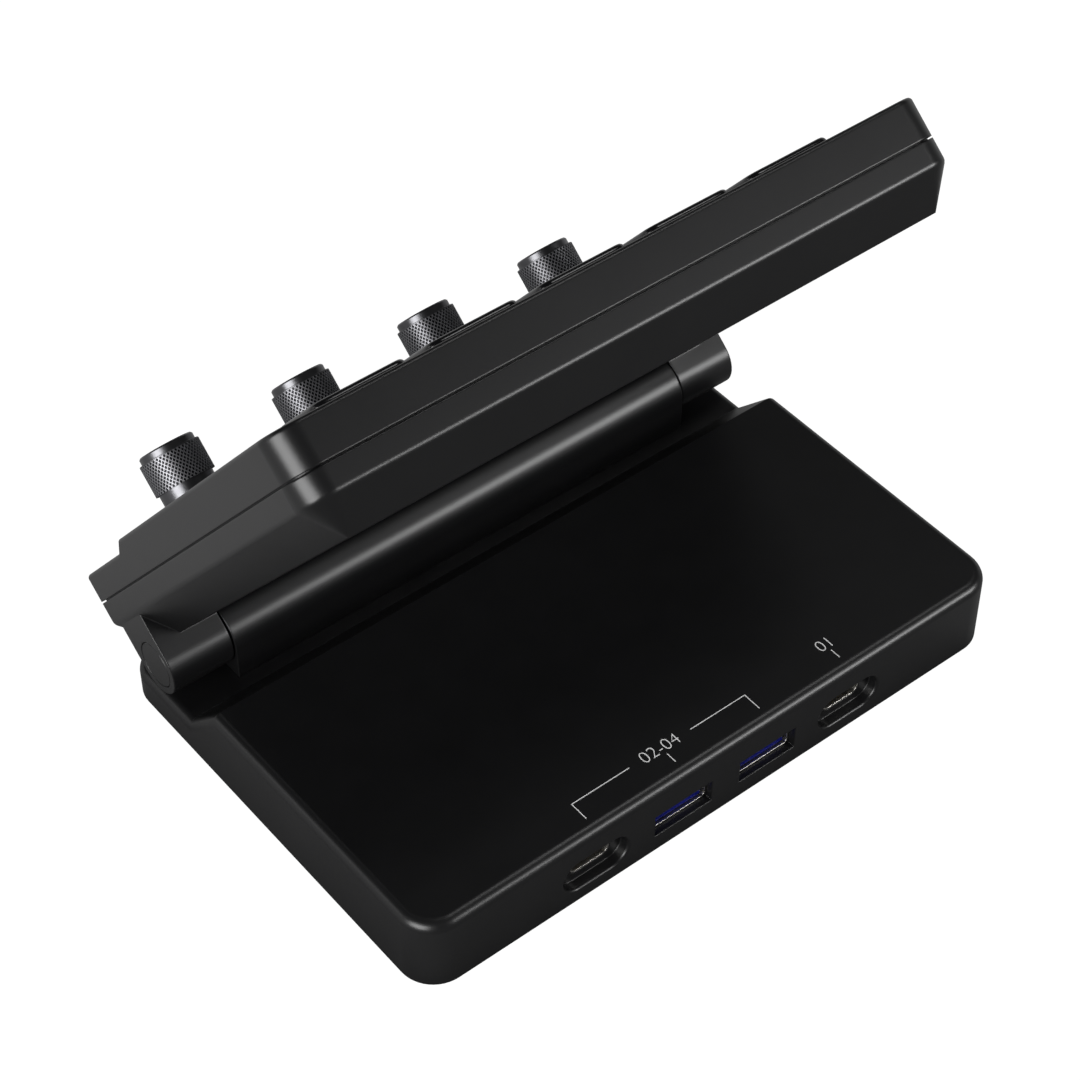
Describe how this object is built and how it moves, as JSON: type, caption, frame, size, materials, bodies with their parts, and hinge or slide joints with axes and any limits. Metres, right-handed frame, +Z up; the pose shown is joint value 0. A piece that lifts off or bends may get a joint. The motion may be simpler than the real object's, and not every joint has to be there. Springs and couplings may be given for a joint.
{
  "type": "stream controller",
  "caption": "Tilting stream controller: a flat head with square keys and knurled push dials, hinged on a low hub base with USB sockets in its rear face.",
  "frame": {"origin": "on the desk, under the middle of the base's anti-slip pad", "axes": "+X to the right of the user in front, +Y to the rear face with the sockets, +Z up"},
  "size_m": [0.1362, 0.1124, 0.1088],
  "materials": {
    "shell": "satin moulded",
    "cover": "fine grained",
    "cap": "satin moulded",
    "pad": "matte",
    "screw": "black zinc",
    "board": "solder mask",
    "chip": "moulded",
    "socket": "nickel plated",
    "blue_tongue": "moulded",
    "black_tongue": "moulded",
    "bush": "sintered",
    "pin": "ground",
    "encoder": "pressed sheet",
    "cable": "smooth jacket",
    "display": "polished",
    "membrane": "matte",
    "key": "clear over black",
    "dial": "black anodised, knurled"
  },
  "bodies": {
    "base": {"base_top_shell": "shell", "base_bottom_cover": "cover", "anti_slip_pad": "pad", "base_screws": "screw", "hub_board": "board", "hub_chips": "chip", "usb_a_shells": "socket", "usb_a_tongues": "blue_tongue", "usb_c_shells": "socket", "usb_c_tongues": "black_tongue", "hinge_barrel": "shell", "barrel_screws": "screw", "friction_bushes": "bush", "link_cable_base": "cable"},
    "head": {"head_bottom_shell": "shell", "head_top_shell": "shell", "hinge_pins": "pin", "hinge_caps": "cap", "head_screws": "screw", "main_board": "board", "board_chips": "chip", "board_screws": "screw", "display_bracket": "cover", "display_panel": "display", "key_membrane": "membrane", "encoder_bodies": "encoder", "link_cable_head": "cable"},
    "key_1": {"key_1": "key"},
    "key_2": {"key_2": "key"},
    "key_3": {"key_3": "key"},
    "key_4": {"key_4": "key"},
    "key_5": {"key_5": "key"},
    "key_6": {"key_6": "key"},
    "key_7": {"key_7": "key"},
    "key_8": {"key_8": "key"},
    "key_9": {"key_9": "key"},
    "key_10": {"key_10": "key"},
    "key_11": {"key_11": "key"},
    "key_12": {"key_12": "key"},
    "key_13": {"key_13": "key"},
    "key_14": {"key_14": "key"},
    "key_15": {"key_15": "key"},
    "plunger_1": {"encoder_plunger_1": "membrane"},
    "dial_1": {"encoder_shaft_1": "pin", "dial_1": "dial"},
    "plunger_2": {"encoder_plunger_2": "membrane"},
    "dial_2": {"encoder_shaft_2": "pin", "dial_2": "dial"},
    "plunger_3": {"encoder_plunger_3": "membrane"},
    "dial_3": {"encoder_shaft_3": "pin", "dial_3": "dial"},
    "plunger_4": {"encoder_plunger_4": "membrane"},
    "dial_4": {"encoder_shaft_4": "pin", "dial_4": "dial"}
  },
  "joints": [
    {"name": "head_tilt", "type": "hinge", "parent": "base", "child": "head", "pos_m": [0, -0.0349, 0.0149], "axis": [1, 0, 0], "range_deg": [-50.8, 24.2]},
    {"name": "key_1_press", "type": "slide", "parent": "head", "child": "key_1", "axis": [0, 0.7749, -0.632], "range_m": [0, 0.0008], "stiffness_N_per_m": 500, "springref_m": -0.0006},
    {"name": "key_2_press", "type": "slide", "parent": "head", "child": "key_2", "axis": [0, 0.7749, -0.632], "range_m": [0, 0.0008], "stiffness_N_per_m": 500, "springref_m": -0.0006},
    {"name": "key_3_press", "type": "slide", "parent": "head", "child": "key_3", "axis": [0, 0.7749, -0.632], "range_m": [0, 0.0008], "stiffness_N_per_m": 500, "springref_m": -0.0006},
    {"name": "key_4_press", "type": "slide", "parent": "head", "child": "key_4", "axis": [0, 0.7749, -0.632], "range_m": [0, 0.0008], "stiffness_N_per_m": 500, "springref_m": -0.0006},
    {"name": "key_5_press", "type": "slide", "parent": "head", "child": "key_5", "axis": [0, 0.7749, -0.632], "range_m": [0, 0.0008], "stiffness_N_per_m": 500, "springref_m": -0.0006},
    {"name": "key_6_press", "type": "slide", "parent": "head", "child": "key_6", "axis": [0, 0.7749, -0.632], "range_m": [0, 0.0008], "stiffness_N_per_m": 500, "springref_m": -0.0006},
    {"name": "key_7_press", "type": "slide", "parent": "head", "child": "key_7", "axis": [0, 0.7749, -0.632], "range_m": [0, 0.0008], "stiffness_N_per_m": 500, "springref_m": -0.0006},
    {"name": "key_8_press", "type": "slide", "parent": "head", "child": "key_8", "axis": [0, 0.7749, -0.632], "range_m": [0, 0.0008], "stiffness_N_per_m": 500, "springref_m": -0.0006},
    {"name": "key_9_press", "type": "slide", "parent": "head", "child": "key_9", "axis": [0, 0.7749, -0.632], "range_m": [0, 0.0008], "stiffness_N_per_m": 500, "springref_m": -0.0006},
    {"name": "key_10_press", "type": "slide", "parent": "head", "child": "key_10", "axis": [0, 0.7749, -0.632], "range_m": [0, 0.0008], "stiffness_N_per_m": 500, "springref_m": -0.0006},
    {"name": "key_11_press", "type": "slide", "parent": "head", "child": "key_11", "axis": [0, 0.7749, -0.632], "range_m": [0, 0.0008], "stiffness_N_per_m": 500, "springref_m": -0.0006},
    {"name": "key_12_press", "type": "slide", "parent": "head", "child": "key_12", "axis": [0, 0.7749, -0.632], "range_m": [0, 0.0008], "stiffness_N_per_m": 500, "springref_m": -0.0006},
    {"name": "key_13_press", "type": "slide", "parent": "head", "child": "key_13", "axis": [0, 0.7749, -0.632], "range_m": [0, 0.0008], "stiffness_N_per_m": 500, "springref_m": -0.0006},
    {"name": "key_14_press", "type": "slide", "parent": "head", "child": "key_14", "axis": [0, 0.7749, -0.632], "range_m": [0, 0.0008], "stiffness_N_per_m": 500, "springref_m": -0.0006},
    {"name": "key_15_press", "type": "slide", "parent": "head", "child": "key_15", "axis": [0, 0.7749, -0.632], "range_m": [0, 0.0008], "stiffness_N_per_m": 500, "springref_m": -0.0006},
    {"name": "dial_1_press", "type": "slide", "parent": "head", "child": "plunger_1", "axis": [0, 0.7749, -0.632], "range_m": [0, 0.0005], "stiffness_N_per_m": 2000, "springref_m": -0.0005},
    {"name": "dial_1_turn", "type": "hinge", "parent": "plunger_1", "child": "dial_1", "pos_m": [-0.04485, -0.05633, 0.03134], "axis": [0, -0.7749, 0.632], "continuous": true},
    {"name": "dial_2_press", "type": "slide", "parent": "head", "child": "plunger_2", "axis": [0, 0.7749, -0.632], "range_m": [0, 0.0005], "stiffness_N_per_m": 2000, "springref_m": -0.0005},
    {"name": "dial_2_turn", "type": "hinge", "parent": "plunger_2", "child": "dial_2", "pos_m": [-0.01495, -0.05633, 0.03134], "axis": [0, -0.7749, 0.632], "continuous": true},
    {"name": "dial_3_press", "type": "slide", "parent": "head", "child": "plunger_3", "axis": [0, 0.7749, -0.632], "range_m": [0, 0.0005], "stiffness_N_per_m": 2000, "springref_m": -0.0005},
    {"name": "dial_3_turn", "type": "hinge", "parent": "plunger_3", "child": "dial_3", "pos_m": [0.01495, -0.05633, 0.03134], "axis": [0, -0.7749, 0.632], "continuous": true},
    {"name": "dial_4_press", "type": "slide", "parent": "head", "child": "plunger_4", "axis": [0, 0.7749, -0.632], "range_m": [0, 0.0005], "stiffness_N_per_m": 2000, "springref_m": -0.0005},
    {"name": "dial_4_turn", "type": "hinge", "parent": "plunger_4", "child": "dial_4", "pos_m": [0.04485, -0.05633, 0.03134], "axis": [0, -0.7749, 0.632], "continuous": true}
  ]
}
